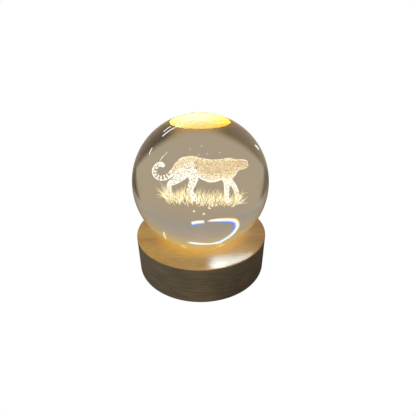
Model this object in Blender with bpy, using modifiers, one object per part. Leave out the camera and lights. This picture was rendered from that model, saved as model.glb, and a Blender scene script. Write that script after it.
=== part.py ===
"""A crystal ball lamp: a solid glass ball that rests in the lit mouth of a turned wooden base.

Metres, +Z up. The origin lies on the table, under the middle of the lamp.
The front faces -Y, and the power socket is at the back, at +Y.
"""

import math

import bmesh
import bpy
from mathutils import Matrix, Vector
from mathutils.geometry import interpolate_bezier

# Clearance between pieces that touch, and the overrun of every cut
GAP = 0.0003
OVERRUN = 0.002

# Glass ball, and the circle where it touches the wood
BALL_DIAMETER = 0.080
SEAT_DIAMETER = 0.044
SEAT_SINK = 0.00085
SEAT_LIP = 0.0015

# Turned wooden base, hollowed from both ends
BASE_DIAMETER = 0.082
BASE_HEIGHT = 0.024
BASE_STANDOFF = 0.001
TOP_EDGE_ROUND = 0.0006
BOTTOM_EDGE_ROUND = 0.0008
WELL_DEPTH = 0.013

# Round board with the lights, screwed up against the shoulder under the well
LED_BOARD_THICKNESS = 0.0016
LED_BOARD_LIP = 0.0045
LED_BOARD_PLAY = 0.002
LED_RING_DIAMETER = 0.028
LED_COUNT = 6
LED_START_ANGLE = math.radians(45)
LED_WIDTH = 0.005
LED_HEIGHT = 0.0016
LED_CORNER_CUT = 0.0008
LED_CUP_DIAMETER = 0.0042
LED_CUP_DEPTH = 0.0005
RESISTOR_COUNT = 3
RESISTOR_LENGTH = 0.0032
RESISTOR_WIDTH = 0.0016
RESISTOR_HEIGHT = 0.0006
RESISTOR_CAP = 0.0005
CHIP_EDGE_ROUND = 0.0001

# Pan-head screws of the light board
BOARD_SCREW_COUNT = 3
BOARD_SCREW_START_ANGLE = math.radians(30)
BOARD_SCREW_LENGTH = 0.0065
BOARD_SCREW_SHANK_DIAMETER = 0.002
BOARD_SCREW_HEAD_DIAMETER = 0.0038
BOARD_SCREW_HEAD_HEIGHT = 0.0013
SCREW_TIP_LENGTH = 0.0012
SCREW_HEAD_ROUND = 0.0004
PILOT_SPARE_DEPTH = 0.0008

# Bottom cover in its rebate, with countersunk screws
COVER_THICKNESS = 0.002
COVER_RIM = 0.0026
COVER_EDGE_ROUND = 0.0003
COVER_SCREW_COUNT = 4
COVER_SCREW_START_ANGLE = math.radians(45)
COVER_SCREW_LENGTH = 0.009
COVER_SCREW_SHANK_DIAMETER = 0.0022
COVER_SCREW_HEAD_DIAMETER = 0.0046
COVER_SCREW_HEAD_HEIGHT = 0.0013
COVER_SCREW_HEAD_RIM = 0.0002

# Soft foot pads, stuck into shallow recesses of the cover
PAD_COUNT = 4
PAD_CIRCLE_DIAMETER = 0.052
PAD_DIAMETER = 0.008
PAD_RECESS_DEPTH = 0.0006
PAD_EDGE_ROUND = 0.0003

# Power socket under its own small board, in a slot behind the rear wall
SOCKET_WIDTH = 0.00894
SOCKET_HEIGHT = 0.00326
SOCKET_LENGTH = 0.0073
SOCKET_WALL = 0.0003
SOCKET_SET_BACK = 0.0006
SOCKET_BLOCK_LENGTH = 0.0024
SOCKET_FLOOR_CLEARANCE = 0.0016
TONGUE_WIDTH = 0.0067
TONGUE_THICKNESS = 0.0007
TONGUE_SET_BACK = 0.0007
REAR_WALL = 0.0042
SOCKET_BOARD_WIDTH = 0.017
SOCKET_BOARD_LENGTH = 0.011
SOCKET_BOARD_THICKNESS = 0.0012
SOCKET_SLOT_PLAY = 0.0005
SOCKET_SCREW_SPACING = 0.0132
SOCKET_SCREW_SETBACK = 0.005
SOCKET_SCREW_LENGTH = 0.0048
SOCKET_SCREW_SHANK_DIAMETER = 0.0014
SOCKET_SCREW_HEAD_DIAMETER = 0.0026
SOCKET_SCREW_HEAD_HEIGHT = 0.0010
SENSE_CHIP_COUNT = 2
SENSE_CHIP_LENGTH = 0.0016
SENSE_CHIP_WIDTH = 0.0008
SENSE_CHIP_HEIGHT = 0.00045
SENSE_CHIP_CAP = 0.0003
SENSE_CHIP_SPACING = 0.0032
SENSE_CHIP_INSET = 0.0027

# Two leads from the socket board to the light board
LEAD_DIAMETER = 0.0012
LEAD_SPACING = 0.006
LEAD_COVER_CLEARANCE = 0.0012
LEAD_END_INSET = 0.0012
LEAD_PAD_INSET = 0.007
LEAD_STEPS = 13

# Facets of round shapes
BALL_SEGMENTS = 64
BASE_STEPS = 96
BOARD_STEPS = 64
SMALL_STEPS = 24
SCREW_STEPS = 12
EDGE_STEPS = 3
STADIUM_STEPS = 8
LEAD_BEVEL_RESOLUTION = 2
MERGE_DISTANCE = 0.000001
SHARP_ANGLE = math.radians(35)
QUARTER = math.pi / 2

# Radii and heights worked out from the sizes above
BALL_RADIUS = BALL_DIAMETER / 2
BASE_RADIUS = BASE_DIAMETER / 2
SEAT_RADIUS = SEAT_DIAMETER / 2
BASE_TOP = BASE_STANDOFF + BASE_HEIGHT
SEAT_DROP = math.sqrt(BALL_RADIUS**2 - SEAT_RADIUS**2)
BALL_CENTRE = BASE_TOP - SEAT_SINK + SEAT_DROP
WELL_RADIUS = SEAT_RADIUS - SEAT_LIP
SHOULDER = BASE_TOP - WELL_DEPTH
LED_BOARD_RADIUS = WELL_RADIUS + LED_BOARD_LIP
LED_BOARD_TOP = SHOULDER - GAP
LED_BOARD_BOTTOM = LED_BOARD_TOP - LED_BOARD_THICKNESS
LED_RING_RADIUS = LED_RING_DIAMETER / 2
POCKET_RADIUS = LED_BOARD_RADIUS + LED_BOARD_PLAY
REBATE_RADIUS = BASE_RADIUS - COVER_RIM
COVER_RADIUS = REBATE_RADIUS - GAP
COVER_TOP = BASE_STANDOFF + COVER_THICKNESS
REBATE_TOP = COVER_TOP + GAP
SOCKET_BOTTOM = REBATE_TOP + SOCKET_FLOOR_CLEARANCE
SOCKET_MIDDLE = SOCKET_BOTTOM + SOCKET_HEIGHT / 2
SOCKET_MOUTH = BASE_RADIUS - SOCKET_SET_BACK
SOCKET_BACK = SOCKET_MOUTH - SOCKET_LENGTH
SOCKET_BOARD_BOTTOM = SOCKET_BOTTOM + SOCKET_HEIGHT + GAP
SOCKET_BOARD_TOP = SOCKET_BOARD_BOTTOM + SOCKET_BOARD_THICKNESS
SLOT_ROOF = SOCKET_BOARD_TOP + GAP
SLOT_END = BASE_RADIUS - REAR_WALL
SOCKET_BOARD_REAR = SLOT_END - GAP
SOCKET_BOARD_FRONT = SOCKET_BOARD_REAR - SOCKET_BOARD_LENGTH


def clear_scene():
    for obj in list(bpy.data.objects):
        bpy.data.objects.remove(obj, do_unlink=True)


def new_collection(name):
    collection = bpy.data.collections.new(name)
    bpy.context.scene.collection.children.link(collection)
    return collection


def new_material(name, colour, roughness, metallic=0.0, clear=0.0):
    material = bpy.data.materials.new(name)
    material.use_nodes = True
    shader = material.node_tree.nodes["Principled BSDF"]
    shader.inputs["Base Color"].default_value = (*colour, 1.0)
    shader.inputs["Roughness"].default_value = roughness
    shader.inputs["Metallic"].default_value = metallic
    shader.inputs["Transmission Weight"].default_value = clear
    return material


def new_object(name, mesh, collection, *materials):
    for material in materials:
        mesh.materials.append(material)
    obj = bpy.data.objects.new(name, mesh)
    collection.objects.link(obj)
    return obj


def mesh_from(shape, name):
    mesh = bpy.data.meshes.new(name)
    shape.to_mesh(mesh)
    shape.free()
    return mesh


def shade(obj):
    obj.data.shade_smooth()
    obj.data.set_sharp_from_angle(angle=SHARP_ANGLE)
    return obj


def flattened(obj):
    """The object with its modifiers applied, as a mesh whose close points are one."""
    bpy.context.view_layer.update()
    evaluated = obj.evaluated_get(bpy.context.evaluated_depsgraph_get())
    mesh = bpy.data.meshes.new_from_object(evaluated)
    shape = bmesh.new()
    shape.from_mesh(mesh)
    bmesh.ops.remove_doubles(shape, verts=shape.verts, dist=MERGE_DISTANCE)
    shape.to_mesh(mesh)
    shape.free()
    name, place, collection = obj.name, obj.matrix_world.copy(), obj.users_collection[0]
    bpy.data.objects.remove(obj, do_unlink=True)
    made = bpy.data.objects.new(name, mesh)
    made.matrix_world = place
    collection.objects.link(made)
    return made


def combine(obj, other, operation="DIFFERENCE"):
    other.hide_render = True
    other.display_type = "WIRE"
    modifier = obj.modifiers.new(other.name, "BOOLEAN")
    modifier.operation = operation
    modifier.object = other


def top_round(radius, height, size):
    """A rounded upper outer edge, as profile points from the top down."""
    turns = [QUARTER * (1 - step / EDGE_STEPS) for step in range(EDGE_STEPS + 1)]
    middle, level = radius - size, height - size
    return [(middle + size * math.cos(turn), level + size * math.sin(turn)) for turn in turns]


def bottom_round(radius, height, size):
    """A rounded lower outer edge, as profile points from the top down."""
    turns = [QUARTER * step / EDGE_STEPS for step in range(EDGE_STEPS + 1)]
    middle, level = radius - size, height + size
    return [(middle + size * math.cos(turn), level - size * math.sin(turn)) for turn in turns]


def straight_profile(radius, low, high):
    return [(0, high), (radius, high), (radius, low), (0, low)]


def pan_screw_profile(length, shank, head, head_height):
    """A pan-head screw that points up, with the underside of its head at height zero."""
    return [
        (0, length),
        (shank / 2, length - SCREW_TIP_LENGTH),
        (shank / 2, 0),
        (head / 2, 0),
        *bottom_round(head / 2, -head_height, SCREW_HEAD_ROUND),
        (0, -head_height),
    ]


def turned(name, profile, steps, collection, *materials, closed=False):
    """A body turned about its own Z axis. The profile runs down its outer side."""
    shape = bmesh.new()
    points = [shape.verts.new((radius, 0, height)) for radius, height in profile]
    for upper, lower in zip(points, points[1:]):
        shape.edges.new((upper, lower))
    if closed:
        shape.edges.new((points[-1], points[0]))
    obj = new_object(name, mesh_from(shape, name), collection, *materials)
    screw = obj.modifiers.new("turn", "SCREW")
    screw.steps = screw.render_steps = steps
    screw.use_merge_vertices = True
    screw.merge_threshold = MERGE_DISTANCE
    return obj


def box(name, low, high, collection, *materials):
    """A box between two corners."""
    low, high = Vector(low), Vector(high)
    shape = bmesh.new()
    place = Matrix.Translation((low + high) / 2) @ Matrix.Diagonal((*(high - low), 1))
    bmesh.ops.create_cube(shape, size=1, matrix=place)
    return new_object(name, mesh_from(shape, name), collection, *materials)


def stadium(name, width, height, front, rear, collection, *materials):
    """A bar with fully round sides that lies along Y at the socket's height."""
    radius = height / 2
    reach = width / 2 - radius
    turns = [math.pi * step / STADIUM_STEPS - QUARTER for step in range(STADIUM_STEPS + 1)]
    right = [(reach + radius * math.cos(turn), radius * math.sin(turn)) for turn in turns]
    outline = right + [(-across, -up) for across, up in right]
    curve = bpy.data.curves.new(name, "CURVE")
    curve.dimensions = "2D"
    curve.fill_mode = "BOTH"
    curve.extrude = (rear - front) / 2
    spline = curve.splines.new("POLY")
    spline.points.add(len(outline) - 1)
    for point, (across, up) in zip(spline.points, outline):
        point.co = (across, up, 0, 1)
    spline.use_cyclic_u = True
    obj = bpy.data.objects.new(name, curve)
    collection.objects.link(obj)
    obj.rotation_euler = (QUARTER, 0, 0)
    obj.location = (0, (front + rear) / 2, SOCKET_MIDDLE)
    made = flattened(obj)
    for material in materials:
        made.data.materials.append(material)
    return made


def around(count, radius, start):
    """Evenly spaced places on a circle, each with its angle."""
    turns = [start + index * math.tau / count for index in range(count)]
    return [(radius * math.cos(turn), radius * math.sin(turn), turn) for turn in turns]


def copies(pattern, name, places, height):
    """One object for each place, sharing the pattern's mesh and turned to face outwards."""
    collection = pattern.users_collection[0]
    for index, (across, along, turn) in enumerate(places, start=1):
        obj = bpy.data.objects.new(f"{name}_{index}", pattern.data)
        obj.location = (across, along, height)
        obj.rotation_euler = (0, 0, turn)
        collection.objects.link(obj)
    bpy.data.objects.remove(pattern, do_unlink=True)


def drill(targets, name, places, profile, cutters):
    """Cuts the same turned hole through the targets at each place."""
    for index, (across, along, _) in enumerate(places, start=1):
        hole = turned(f"{name}_{index}", profile, SCREW_STEPS, cutters)
        hole.location = (across, along, 0)
        for target in targets:
            combine(target, hole)


def board_screw_places():
    middle = (WELL_RADIUS + LED_BOARD_RADIUS) / 2
    return around(BOARD_SCREW_COUNT, middle, BOARD_SCREW_START_ANGLE)


def cover_screw_places():
    middle = (POCKET_RADIUS + COVER_RADIUS) / 2
    return around(COVER_SCREW_COUNT, middle, COVER_SCREW_START_ANGLE)


def socket_screw_places():
    along = SLOT_END - SOCKET_SCREW_SETBACK
    return [(side * SOCKET_SCREW_SPACING / 2, along, 0) for side in (-1, 1)]


def pad_places():
    return around(PAD_COUNT, PAD_CIRCLE_DIAMETER / 2, 0)


def seat_cone():
    """Upper and lower edge of the cone in the wood that the ball rests on, one gap outside the ball."""
    slope = SEAT_RADIUS / SEAT_DROP
    radius = SEAT_RADIUS + GAP * SEAT_RADIUS / BALL_RADIUS
    height = BALL_CENTRE - SEAT_DROP - GAP * SEAT_DROP / BALL_RADIUS
    upper = (radius + (BASE_TOP - height) / slope, BASE_TOP)
    lower = (WELL_RADIUS, height - (radius - WELL_RADIUS) * slope)
    return upper, lower


def make_ball(parts, glass):
    """The solid ball. Its origin is its centre, on the axis that it lifts along."""
    shape = bmesh.new()
    rings = BALL_SEGMENTS // 2
    bmesh.ops.create_uvsphere(shape, u_segments=BALL_SEGMENTS, v_segments=rings, radius=BALL_RADIUS)
    ball = new_object("crystal_ball", mesh_from(shape, "crystal_ball"), parts, glass)
    ball.location = (0, 0, BALL_CENTRE)
    ball.data.shade_smooth()


def make_base(parts, cutters, wood, stain):
    """The wooden ring: seat and well above, pocket and rebate below, the socket's slot at the back."""
    seat_top, seat_bottom = seat_cone()
    profile = [
        seat_top,
        *top_round(BASE_RADIUS, BASE_TOP, TOP_EDGE_ROUND),
        *bottom_round(BASE_RADIUS, BASE_STANDOFF, BOTTOM_EDGE_ROUND),
        (REBATE_RADIUS, BASE_STANDOFF),
        (REBATE_RADIUS, REBATE_TOP),
        (POCKET_RADIUS, REBATE_TOP),
        (POCKET_RADIUS, SHOULDER),
        (WELL_RADIUS, SHOULDER),
        seat_bottom,
    ]
    base = flattened(turned("wooden_base", profile, BASE_STEPS, parts, wood, stain, closed=True))
    for face in base.data.polygons:
        outside = math.hypot(face.center.x, face.center.y) > REBATE_RADIUS
        face.material_index = int(outside and face.center.z < BASE_TOP - TOP_EDGE_ROUND)
    slot_half = SOCKET_BOARD_WIDTH / 2 + SOCKET_SLOT_PLAY
    combine(base, box("socket_slot", (-slot_half, 0, 0), (slot_half, SLOT_END, SLOT_ROOF), cutters))
    width, height = SOCKET_WIDTH + 2 * GAP, SOCKET_HEIGHT + 2 * GAP
    combine(base, stadium("socket_window", width, height, SOCKET_BACK, BASE_RADIUS + OVERRUN, cutters))
    return shade(base)


def make_light_board(parts, cutters, base, board_white, package, phosphor, ceramic, solder, steel):
    """The round board under the well, with its lights and resistors, and the screws that hold it."""
    disc = straight_profile(LED_BOARD_RADIUS, LED_BOARD_BOTTOM, LED_BOARD_TOP)
    board = flattened(turned("led_board", disc, BOARD_STEPS, parts, board_white))
    hole = BOARD_SCREW_SHANK_DIAMETER / 2 + GAP
    head_seat = LED_BOARD_BOTTOM - GAP
    depth = head_seat + BOARD_SCREW_LENGTH + PILOT_SPARE_DEPTH
    through = straight_profile(hole, LED_BOARD_BOTTOM - OVERRUN, depth)
    drill((base, board), "board_pilot", board_screw_places(), through, cutters)
    shade(board)
    screw = pan_screw_profile(
        BOARD_SCREW_LENGTH, BOARD_SCREW_SHANK_DIAMETER, BOARD_SCREW_HEAD_DIAMETER, BOARD_SCREW_HEAD_HEIGHT
    )
    pattern = shade(flattened(turned("board_screw", screw, SCREW_STEPS, parts, steel)))
    copies(pattern, "board_screw", board_screw_places(), head_seat)

    surface = LED_BOARD_TOP + GAP
    light = make_light(parts, cutters, package, phosphor)
    copies(light, "led", around(LED_COUNT, LED_RING_RADIUS, LED_START_ANGLE), surface)
    between = LED_START_ANGLE + math.pi / LED_COUNT
    chip = make_chip(
        "resistor", RESISTOR_LENGTH, RESISTOR_WIDTH, RESISTOR_HEIGHT, RESISTOR_CAP, parts, ceramic, solder
    )
    copies(chip, "resistor", around(RESISTOR_COUNT, LED_RING_RADIUS, between), surface)


def make_light(parts, cutters, package, phosphor):
    """A square light with one cut corner and a shallow round cup of phosphor."""
    half = LED_WIDTH / 2
    light = box("led", (-half, -half, 0), (half, half, LED_HEIGHT), parts, package, phosphor)
    shape = bmesh.new()
    shape.from_mesh(light.data)
    corner = [vert for vert in shape.verts if vert.co.x > 0 and vert.co.y > 0]
    upright = [edge for edge in shape.edges if all(vert in corner for vert in edge.verts)]
    bmesh.ops.bevel(shape, geom=upright, offset=LED_CORNER_CUT, segments=1, affect="EDGES")
    shape.to_mesh(light.data)
    shape.free()
    floor = LED_HEIGHT - LED_CUP_DEPTH
    cup = straight_profile(LED_CUP_DIAMETER / 2, floor, LED_HEIGHT + OVERRUN)
    cutter = turned("led_cup", cup, SMALL_STEPS, cutters)
    combine(light, cutter)
    light = flattened(light)
    bpy.data.objects.remove(cutter, do_unlink=True)
    for face in light.data.polygons:
        in_cup = math.hypot(face.center.x, face.center.y) < half / 2 and face.center.z > LED_HEIGHT / 2
        face.material_index = int(in_cup)
    return shade(light)


def make_chip(name, length, width, height, cap, parts, ceramic, solder):
    """A small flat resistor with soldered end caps. It lies along its own X axis."""
    chip = box(name, (-length / 2, -width / 2, 0), (length / 2, width / 2, height), parts, ceramic, solder)
    shape = bmesh.new()
    shape.from_mesh(chip.data)
    bmesh.ops.bevel(shape, geom=shape.edges[:], offset=CHIP_EDGE_ROUND, segments=1, affect="EDGES")
    for side in (-1, 1):
        everything = shape.verts[:] + shape.edges[:] + shape.faces[:]
        place = (side * (length / 2 - cap), 0, 0)
        bmesh.ops.bisect_plane(shape, geom=everything, plane_co=place, plane_no=(1, 0, 0))
    for face in shape.faces:
        face.material_index = int(abs(face.calc_center_median().x) > length / 2 - cap)
    shape.to_mesh(chip.data)
    shape.free()
    return chip


def make_socket(parts, cutters, base, board_green, shell_steel, black, ceramic, solder, steel):
    """The power socket, its board and the two screws that hold the board under the slot's roof."""
    width, height = SOCKET_WIDTH, SOCKET_HEIGHT
    shell = stadium("socket_shell", width, height, SOCKET_BACK, SOCKET_MOUTH, parts, shell_steel)
    width, height = SOCKET_WIDTH - 2 * SOCKET_WALL, SOCKET_HEIGHT - 2 * SOCKET_WALL
    inside = SOCKET_BACK + SOCKET_WALL
    combine(shell, stadium("shell_hollow", width, height, inside, SOCKET_MOUTH + OVERRUN, cutters))
    shade(shell)

    block_start = inside + GAP
    block_end = block_start + SOCKET_BLOCK_LENGTH
    width, height = width - 2 * GAP, height - 2 * GAP
    block = stadium("socket_tongue", width, height, block_start, block_end, parts, black)
    low = (-TONGUE_WIDTH / 2, (block_start + block_end) / 2, SOCKET_MIDDLE - TONGUE_THICKNESS / 2)
    high = (TONGUE_WIDTH / 2, SOCKET_MOUTH - TONGUE_SET_BACK, SOCKET_MIDDLE + TONGUE_THICKNESS / 2)
    combine(block, box("tongue_blade", low, high, cutters), "UNION")
    shade(block)

    half = SOCKET_BOARD_WIDTH / 2
    low = (-half, SOCKET_BOARD_FRONT, SOCKET_BOARD_BOTTOM)
    high = (half, SOCKET_BOARD_REAR, SOCKET_BOARD_TOP)
    board = box("socket_board", low, high, parts, board_green)
    head_seat = SOCKET_BOARD_BOTTOM - GAP
    hole = SOCKET_SCREW_SHANK_DIAMETER / 2 + GAP
    depth = head_seat + SOCKET_SCREW_LENGTH + PILOT_SPARE_DEPTH
    through = straight_profile(hole, SOCKET_BOARD_BOTTOM - OVERRUN, depth)
    drill((base, board), "socket_pilot", socket_screw_places(), through, cutters)
    shade(board)
    screw = pan_screw_profile(
        SOCKET_SCREW_LENGTH, SOCKET_SCREW_SHANK_DIAMETER, SOCKET_SCREW_HEAD_DIAMETER, SOCKET_SCREW_HEAD_HEIGHT
    )
    pattern = shade(flattened(turned("socket_screw", screw, SCREW_STEPS, parts, steel)))
    copies(pattern, "socket_screw", socket_screw_places(), head_seat)

    chip = make_chip(
        "sense_resistor", SENSE_CHIP_LENGTH, SENSE_CHIP_WIDTH, SENSE_CHIP_HEIGHT, SENSE_CHIP_CAP,
        parts, ceramic, solder,
    )
    along = SOCKET_BOARD_FRONT + SENSE_CHIP_INSET
    middle = (SENSE_CHIP_COUNT - 1) / 2
    places = [((index - middle) * SENSE_CHIP_SPACING, along, 0) for index in range(SENSE_CHIP_COUNT)]
    copies(chip, "sense_resistor", places, SOCKET_BOARD_BOTTOM - GAP - SENSE_CHIP_HEIGHT)


def make_lead(name, side, parts, sleeve):
    """A soldered lead that bows down between the two boards, just clear of the cover."""
    across = side * LEAD_SPACING / 2
    start = Vector((across, SOCKET_BOARD_FRONT + LEAD_END_INSET, SOCKET_BOARD_BOTTOM - GAP))
    end = Vector((across, LED_BOARD_RADIUS - LEAD_PAD_INSET, LED_BOARD_BOTTOM - GAP))
    # The bow's middle takes an eighth of its height from each end and three eighths from each handle
    lowest = COVER_TOP + LEAD_COVER_CLEARANCE + LEAD_DIAMETER / 2
    low = (lowest - (start.z + end.z) / 8) * 4 / 3
    handles = (Vector((across, start.y, low)), Vector((across, end.y, low)))
    route = interpolate_bezier(start, *handles, end, LEAD_STEPS)
    curve = bpy.data.curves.new(name, "CURVE")
    curve.dimensions = "3D"
    curve.bevel_depth = LEAD_DIAMETER / 2
    curve.bevel_resolution = LEAD_BEVEL_RESOLUTION
    curve.use_fill_caps = True
    spline = curve.splines.new("POLY")
    spline.points.add(len(route) - 1)
    for point, place in zip(spline.points, route):
        point.co = (*place, 1)
    curve.materials.append(sleeve)
    parts.objects.link(bpy.data.objects.new(name, curve))


def make_cover(parts, cutters, base, black, foam, steel):
    """The bottom cover with its countersunk screws, and the foot pads in their recesses."""
    profile = [
        (0, COVER_TOP),
        (COVER_RADIUS, COVER_TOP),
        *bottom_round(COVER_RADIUS, BASE_STANDOFF, COVER_EDGE_ROUND),
        (0, BASE_STANDOFF),
    ]
    cover = flattened(turned("bottom_cover", profile, BASE_STEPS, parts, black))
    shank, head = COVER_SCREW_SHANK_DIAMETER / 2, COVER_SCREW_HEAD_DIAMETER / 2
    tip = BASE_STANDOFF + COVER_SCREW_LENGTH
    neck = BASE_STANDOFF + COVER_SCREW_HEAD_HEIGHT
    rim = BASE_STANDOFF + COVER_SCREW_HEAD_RIM
    countersunk = [
        (0, tip + PILOT_SPARE_DEPTH),
        (shank + GAP, tip + PILOT_SPARE_DEPTH),
        (shank + GAP, neck + GAP),
        (head + GAP, rim + GAP),
        (head + GAP, BASE_STANDOFF - OVERRUN),
        (0, BASE_STANDOFF - OVERRUN),
    ]
    drill((base, cover), "cover_pilot", cover_screw_places(), countersunk, cutters)
    screw = [(0, tip), (shank, tip - SCREW_TIP_LENGTH), (shank, neck), (head, rim)]
    screw += [(head, BASE_STANDOFF), (0, BASE_STANDOFF)]
    pattern = shade(flattened(turned("cover_screw", screw, SCREW_STEPS, parts, steel)))
    copies(pattern, "cover_screw", cover_screw_places(), 0)

    recess_top = BASE_STANDOFF + PAD_RECESS_DEPTH
    recess = straight_profile(PAD_DIAMETER / 2 + GAP, BASE_STANDOFF - OVERRUN, recess_top)
    drill((cover,), "pad_recess", pad_places(), recess, cutters)
    shade(cover)
    pad = [(0, recess_top - GAP), (PAD_DIAMETER / 2, recess_top - GAP)]
    pad += [*bottom_round(PAD_DIAMETER / 2, 0, PAD_EDGE_ROUND), (0, 0)]
    pattern = shade(flattened(turned("foot_pad", pad, SMALL_STEPS, parts, foam)))
    copies(pattern, "foot_pad", pad_places(), 0)


def main():
    clear_scene()
    parts = new_collection("crystal_ball_lamp")
    cutters = new_collection("cutters")
    cutters.hide_render = True

    glass = new_material("optical glass", (0.95, 0.94, 0.92), 0.0, clear=1.0)
    wood = new_material("lacquered beech", (0.50, 0.31, 0.13), 0.35)
    stain = new_material("dark stained beech", (0.085, 0.065, 0.040), 0.5)
    board_white = new_material("white solder mask", (0.80, 0.79, 0.75), 0.4)
    board_green = new_material("green solder mask", (0.02, 0.16, 0.06), 0.35)
    package = new_material("white light package", (0.85, 0.84, 0.80), 0.5)
    phosphor = new_material("warm phosphor", (0.90, 0.62, 0.10), 0.4)
    ceramic = new_material("black chip ceramic", (0.02, 0.02, 0.02), 0.5)
    solder = new_material("bright solder", (0.72, 0.72, 0.70), 0.25, metallic=1.0)
    steel = new_material("zinc plated steel", (0.60, 0.60, 0.58), 0.3, metallic=1.0)
    shell_steel = new_material("stainless steel", (0.62, 0.61, 0.58), 0.25, metallic=1.0)
    black = new_material("black plastic", (0.018, 0.018, 0.020), 0.45)
    foam = new_material("black foam rubber", (0.025, 0.025, 0.027), 0.85)
    red_sleeve = new_material("red sleeve", (0.50, 0.02, 0.015), 0.4)
    black_sleeve = new_material("black sleeve", (0.015, 0.015, 0.015), 0.4)

    make_ball(parts, glass)
    base = make_base(parts, cutters, wood, stain)
    make_light_board(parts, cutters, base, board_white, package, phosphor, ceramic, solder, steel)
    make_socket(parts, cutters, base, board_green, shell_steel, black, ceramic, solder, steel)
    make_lead("red_lead", -1, parts, red_sleeve)
    make_lead("black_lead", 1, parts, black_sleeve)
    make_cover(parts, cutters, base, black, foam, steel)


main()
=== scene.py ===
"""Crystal ball lamp: looks of the engraved glass ball, the turned wooden base and the lights inside."""

import math

import bmesh
import bpy
import numpy as np
from mathutils import Matrix, Vector


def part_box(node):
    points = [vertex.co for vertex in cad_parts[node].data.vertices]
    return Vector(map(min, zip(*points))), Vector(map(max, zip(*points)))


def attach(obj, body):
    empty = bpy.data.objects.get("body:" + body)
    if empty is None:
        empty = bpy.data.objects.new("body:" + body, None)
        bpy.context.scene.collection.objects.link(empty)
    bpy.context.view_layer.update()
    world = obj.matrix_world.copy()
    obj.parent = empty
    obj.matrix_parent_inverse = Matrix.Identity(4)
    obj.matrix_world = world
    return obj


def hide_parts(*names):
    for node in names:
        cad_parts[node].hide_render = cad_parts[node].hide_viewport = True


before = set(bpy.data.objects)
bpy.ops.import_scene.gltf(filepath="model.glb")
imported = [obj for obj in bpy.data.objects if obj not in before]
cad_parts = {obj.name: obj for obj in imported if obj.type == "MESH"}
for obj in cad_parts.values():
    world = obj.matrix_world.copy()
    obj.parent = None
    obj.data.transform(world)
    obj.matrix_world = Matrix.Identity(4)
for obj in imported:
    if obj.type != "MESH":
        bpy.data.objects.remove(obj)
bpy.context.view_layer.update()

MM = 0.001
ROUND = 192

# Levels and radii of the real pieces, read from the frame
ball_low, ball_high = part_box("crystal_ball")
BALL_RADIUS = (ball_high.z - ball_low.z) / 2
BALL_CENTRE = Vector((0, 0, (ball_high.z + ball_low.z) / 2))
base_low, base_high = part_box("wooden_base")
BASE_RADIUS = base_high.x
BASE_TOP = base_high.z
BASE_BOTTOM = base_low.z
board_low, board_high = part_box("led_board")
cover_low, cover_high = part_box("bottom_cover")
shell_low, shell_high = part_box("socket_shell")
tongue_low, tongue_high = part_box("socket_tongue")
light_low, light_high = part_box("led_1")
chip_low, chip_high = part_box("resistor_1")
screw_low, screw_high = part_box("cover_screw_1")
pad_low, pad_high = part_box("foot_pad_1")
GAP = 0.3 * MM
SEAT_RADIUS = 22 * MM
WELL_RADIUS = 20.5 * MM
SEAT_HEIGHT = BALL_CENTRE.z - math.sqrt(BALL_RADIUS**2 - SEAT_RADIUS**2)
POCKET_RADIUS = 27 * MM
LIGHT_COUNT = 6
LIGHT_RING_RADIUS = 14 * MM
LIGHT_START_ANGLE = 45
LIGHT_WIDTH = 5 * MM
CHIP_COUNT = 3
CHIP_LENGTH = 3.2 * MM
CHIP_WIDTH = 1.6 * MM
SCREW_COUNT = 4
SCREW_CIRCLE_RADIUS = (screw_low.x + screw_high.x) / 2 * math.sqrt(2)
SCREW_HEAD_RADIUS = 2.3 * MM
PAD_COUNT = 4
PAD_CIRCLE_RADIUS = (pad_low.x + pad_high.x) / 2
PAD_RADIUS = (pad_high.x - pad_low.x) / 2

# How the top wood's grain is stretched and turned, and how strongly the lights and the well glow: the well's
# glow is painted on its finishes
TOP_GRAIN = ((0.16, 1, 1), math.radians(-8))
LIGHT_RADIANCE = 16
PAINTED_WELL_GLARE = 12
PAINTED_WELL_GLOW = 0.5

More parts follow.
